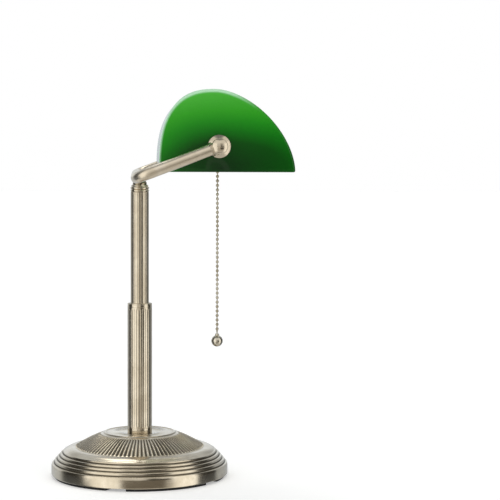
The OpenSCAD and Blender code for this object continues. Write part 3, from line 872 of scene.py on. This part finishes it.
def chain_outlet():
    """The small belled bushing that the pull chain leaves the socket through."""
    low, high = bushing_low.z, bushing_high.z
    lip_r = bushing_high.x - swing.x
    bore = lip_r - 2.6
    lathe("chain_bushing_bell", [
        (bore + 0.5, low, 0.3), (lip_r - 0.5, low, 0.4), (lip_r, low + 0.6, 0.4), (lip_r, low + 1.2, 0.3),
        (lip_r - 0.9, low + 1.9, 0.5), (lip_r - 0.9, low + 2.6, 0.2), (lip_r - 1.1, low + 2.9, 0.1),
        (lip_r - 0.9, low + 3.2, 0.1), (lip_r - 0.9, high), (bore, high), (bore, low + 1.0, 0.6)],
        "chain_bushing", 48,
        Matrix.Translation((swing.x, swing.y, 0)), radius=0.15)


def foot():
    """The foam foot, with notches in its rim and rounded edges."""
    high = node_box("foot_ring")[1]
    outer, inner, thick = high.x, 66.0, high.z
    notch_in, notches, notch_angle, first = 73.0, 5, 12.0, -106.0
    steps = 360
    verts = []
    for k in range(steps):
        degrees = 360 * k / steps
        turns = [degrees - first - 360 / notches * i for i in range(notches)]
        from_notch = min(abs((turn + 180) % 360 - 180) for turn in turns)
        out = notch_in + (outer - notch_in) * smooth(from_notch, notch_angle / 2 - 0.5, notch_angle / 2 + 0.5)
        c, s = math.cos(math.radians(degrees)), math.sin(math.radians(degrees))
        for r, z in ((inner, 0.3), (inner + 0.3, 0), (out - 0.5, 0), (out, 0.5), (out, thick - 0.3),
                     (out - 0.3, thick), (inner, thick)):
            verts.append((r * c, r * s, z))
    finish_piece("foot_ring_foam", verts, grid_faces(steps, 7), "foot_ring", 50)


def base_plate():
    """The enamelled plate that closes the base, with a shallow dish in its middle."""
    low, high = node_box("base_plate")
    plate_r = high.x
    lathe("base_plate_pressed", [
        (0.0, low.z + 0.3), (22.0, low.z + 0.3, 1.0), (23.5, low.z, 1.0), (plate_r - 1.5, low.z, 0.5),
        (plate_r, low.z + 0.6, 0.3), (plate_r, high.z), (0.0, high.z)],
        "base_plate", 128, radius=0.2)


def grommet():
    """The rubber ring at the back that lines the cord's hole."""
    place = inlet_place()
    bore, flange_r, groove_r = 3.2, 4.8, 4.2
    face = base_r + 1.1 - place.translation.to_2d().length
    lathe("cord_grommet_ring", [
        (bore, face - 4.7, 0.5), (flange_r, face - 4.7, 0.3), (flange_r, face - 3.7, 0.2),
        (groove_r, face - 3.7), (groove_r, face - 1.0), (flange_r, face - 1.0, 0.2), (flange_r, face, 0.4),
        (bore, face, 0.6)],
        "cord_grommet", 64, place, radius=0.15)


# ---- pull chain ----

def bead_outline(top, bottom, bead_r, pitch):
    """Outline of a bead chain: balls on short necks."""
    neck = bead_r * 0.34
    near_enough = 0.01
    outline = [(0.0, top)]
    z = top
    while z - 2 * bead_r > bottom - near_enough:
        centre = z - bead_r
        for i in range(11):
            a = math.pi / 2 - math.pi * i / 10
            r = bead_r * math.cos(a)
            if r >= neck:
                outline.append((r, centre + bead_r * math.sin(a)))
        z -= pitch
        if z - 2 * bead_r > bottom - near_enough:
            outline += [(neck, z + pitch - 2 * bead_r), (neck, z)]
    return outline + [(neck, bottom), (0.0, bottom)]


def ball_outline(ball_r, centre, ferrule_top):
    """Outline of the end ball and the ferrule on it."""
    ferrule_r = 2.0
    outline = [(0.0, centre - ball_r)]
    for i in range(1, 30):
        a = -math.pi / 2 + math.pi * i / 30
        r, z = ball_r * math.cos(a), centre + ball_r * math.sin(a)
        if r > ferrule_r or z < centre:
            outline.append((r, z))
    return outline + [(ferrule_r, centre + ball_r - 0.3), (ferrule_r, ferrule_top - 0.3),
                      (ferrule_r - 0.3, ferrule_top), (0.0, ferrule_top)]


def pull_chain():
    """The bead chain and its end ball, hanging from the socket's chain bushing."""
    bead_r, pitch = (chain_high.x - chain_low.x) / 2, 4.42
    x, y = swing.x, swing.y
    place = Matrix.Translation((x, y, 0))
    top = bushing_low.z
    ferrule_top = ball_high.z
    verts, faces = lathe_data(bead_outline(top - 0.05, ferrule_top, bead_r, pitch), 16, place)
    chain = finish_piece("pull_chain_beads", verts, faces, "pull_chain", 60)
    ball_r = (ball_high.x - ball_low.x) / 2
    verts, faces = lathe_data(ball_outline(ball_r, ball_low.z + ball_r, ferrule_top), 48, place)
    ball = finish_piece("chain_end_ball", verts, faces, "chain_ball", 50)
    for piece in (chain, ball):
        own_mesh(piece)


# ---- camera, floor and light ----

def camera():
    """Level with the shade and square to the lamp's near side."""
    lens = bpy.data.cameras.new("camera")
    lens.sensor_width = 36
    lens.lens = 122.8
    lens.clip_end = 20
    eye = bpy.data.objects.new("camera", lens)
    bpy.context.scene.collection.objects.link(eye)
    eye.location = (-0.002, -1.751, 0.336)
    pan, down, roll = math.radians(-3.77), math.radians(3.36), math.radians(0.22)
    turn = Matrix.Rotation(pan, 4, "Z") @ Matrix.Rotation(math.pi / 2 - down, 4, "X")
    turn = turn @ Matrix.Rotation(roll, 4, "Z")
    eye.matrix_world = Matrix.Translation(eye.location) @ turn
    bpy.context.scene.camera = eye


def staged(name, corners, material):
    """A flat four-cornered sheet that isn't part of the lamp."""
    mesh = bpy.data.meshes.new(name)
    mesh.from_pydata(corners, [], [(0, 1, 2, 3)])
    mesh.materials.append(material)
    sheet = bpy.data.objects.new(name, mesh)
    bpy.context.scene.collection.objects.link(sheet)
    return sheet


def floor():
    """A wide pale floor that glows a little, and that the metal doesn't mirror."""
    material, _, shader = new_material("pale_floor")
    shader.inputs["Base Color"].default_value = (0.92, 0.92, 0.92, 1)
    shader.inputs["Roughness"].default_value = 0.9
    shader.inputs["Specular IOR Level"].default_value = 0.0
    shader.inputs["Emission Color"].default_value = (1, 1, 1, 1)
    shader.inputs["Emission Strength"].default_value = 0.36
    size = 12.0
    corners = [(-size, -size, 0), (size, -size, 0), (size, size, 0), (-size, size, 0)]
    plane = staged("floor", corners, material)
    plane.visible_glossy = False


def dark_cards():
    """Dark cards standing in front that only reflections see: the streaks low on the base's rings and rim."""
    for name, left, right, y, low, top, grey in (("right_card", 0.13, 0.56, -0.70, 0.0, 0.22, 0.04),
                                                 ("rim_card", -0.125, 0.20, -0.35, -0.12, -0.004, 0.24)):
        material, _, shader = new_material(name)
        shader.inputs["Base Color"].default_value = (grey, 0.87 * grey, 0.70 * grey, 1)
        shader.inputs["Roughness"].default_value = 1.0
        shader.inputs["Specular IOR Level"].default_value = 0.0
        card = staged(name, [(left, y, low), (right, y, low), (right, y, top), (left, y, top)], material)
        card.visible_camera = False
        card.visible_diffuse = False
        card.visible_shadow = False
        card.visible_transmission = False


def studio():
    """A pale room: two tall soft boxes by the lens with dark gaps round them, and one more overhead.

    The camera itself sees plain white.
    """
    world = bpy.data.worlds.new("studio")
    bpy.context.scene.world = world
    world.use_nodes = True
    tree = world.node_tree
    tree.nodes.clear()
    direction = tree.nodes.new("ShaderNodeTexCoord").outputs["Generated"]
    parts = tree.nodes.new("ShaderNodeSeparateXYZ")
    tree.links.new(direction, parts.inputs["Vector"])
    x, y, z = (parts.outputs[k] for k in "XYZ")
    to_degrees = 180 / math.pi
    # 0 is towards the lens, positive to the right as the lens sees it
    bearing = math_of(tree, "ARCTAN2", x, math_of(tree, "MULTIPLY", y, -1.0))
    around = math_of(tree, "MULTIPLY", bearing, to_degrees)
    height = math_of(tree, "MULTIPLY", math_of(tree, "ARCSINE", z), to_degrees)
    from_back = math_of(tree, "SUBTRACT", 180.0, math_of(tree, "ABSOLUTE", around))

    def window(value, low, high, soft):
        """1 between low and high, 0 outside, soft at both ends."""
        rise = ramp_of(tree, value, low - soft, low + soft)
        fall = ramp_of(tree, value, high - soft, high + soft)
        return math_of(tree, "MULTIPLY", rise, math_of(tree, "SUBTRACT", 1.0, fall))

    def overlap(*masks):
        """1 only where every mask is."""
        result = masks[0]
        for mask in masks[1:]:
            result = math_of(tree, "MULTIPLY", result, mask)
        return result

    warm, cream, cool = (1.0, 0.95, 0.86), (1.0, 0.985, 0.95), (0.92, 0.975, 1.03)
    tone = rgba(tuple(0.15 * c for c in cool))
    level = window(height, -9.5, 30, 1.5)
    behind = window(from_back, -10, 60, 4)
    overhead = overlap(window(x, -0.30, 0.30, 0.04), window(y, 0.20, 0.54, 0.04), window(z, 0.5, 2.0, 0.03))
    # each is where it is, its tint and its strength, and a later one covers the ones before it
    patches = (
        # dark gaps beyond the two soft boxes
        (overlap(window(around, -130, -76, 3), level), warm, 0.03),
        (overlap(window(around, 80, 125, 3), level), warm, 0.04),
        # the left soft box
        (window(around, -66, -25, 3), cream, 1.45),
        (overlap(window(around, -76, -60, 3), level), cream, 1.45),
        # left of the lens, low and level
        (overlap(window(around, -24, 6, 3), window(height, -9.5, -4, 1)), warm, 0.95),
        (overlap(window(around, -24, 6, 3), window(height, -4, 30, 1)), warm, 0.55),
        # the right soft box
        (window(around, 42, 80, 3), cream, 1.50),
        # between the boxes, above the lens and then down to the floor
        (overlap(window(around, -24, 44, 4), window(height, 2, 30, 2)), cream, 0.78),
        (overlap(window(around, 8, 25, 3), window(height, 0, 40, 4)), warm, 0.30),
        (overlap(window(around, 6, 44, 3), window(height, -9.5, -4.5, 0.8)), warm, 0.55),
        (overlap(window(around, 4, 40, 3), window(height, -4.5, 2, 0.8)), warm, 0.04),
        (overlap(window(around, -24, 44, 4), window(height, -60, -9.5, 1)), warm, 0.62),
        # behind the lamp, from the floor up
        (overlap(behind, window(height, -90, 0, 5)), cool, 0.68),
        (overlap(behind, window(height, 0, 25, 5)), cool, 1.0),
        (overlap(behind, window(height, 25, 90, 5)), cool, 0.66),
        (overlap(window(around, 118, 165, 5), window(height, -90, 25, 5)), cool, 0.52),
        # high in front, and the ceiling
        (overlap(window(from_back, 104, 200, 6), window(height, 27, 60, 4)), cream, 1.0),
        (overlap(window(from_back, 66, 200, 6), window(height, 60, 95, 3)), cool, 0.26),
        (overhead, cream, 2.80),
        # the floor
        (window(height, -95, -47, 5), cream, 0.75),
    )
    for mask, colour, strength in patches:
        tone = mix_of(tree, mask, tone, rgba(tuple(strength * c for c in colour)))
    shaped = tree.nodes.new("ShaderNodeBackground")
    tree.links.new(tone, shaped.inputs["Color"])
    plain = tree.nodes.new("ShaderNodeBackground")
    plain.inputs["Color"].default_value = (1, 1, 1, 1)
    seen = tree.nodes.new("ShaderNodeLightPath").outputs["Is Camera Ray"]
    pick = tree.nodes.new("ShaderNodeMixShader")
    tree.links.new(seen, pick.inputs[0])
    tree.links.new(shaped.outputs[0], pick.inputs[1])
    tree.links.new(plain.outputs[0], pick.inputs[2])
    out = tree.nodes.new("ShaderNodeOutputWorld")
    tree.links.new(pick.outputs[0], out.inputs["Surface"])


camera()
pull_chain()
base_cover()
columns()
yoke()
shade()
clamping()
lamp_socket()
bulb()
chain_outlet()
foot()
base_plate()
grommet()
floor()
dark_cards()
studio()
bpy.context.scene.view_settings.view_transform = "Standard"
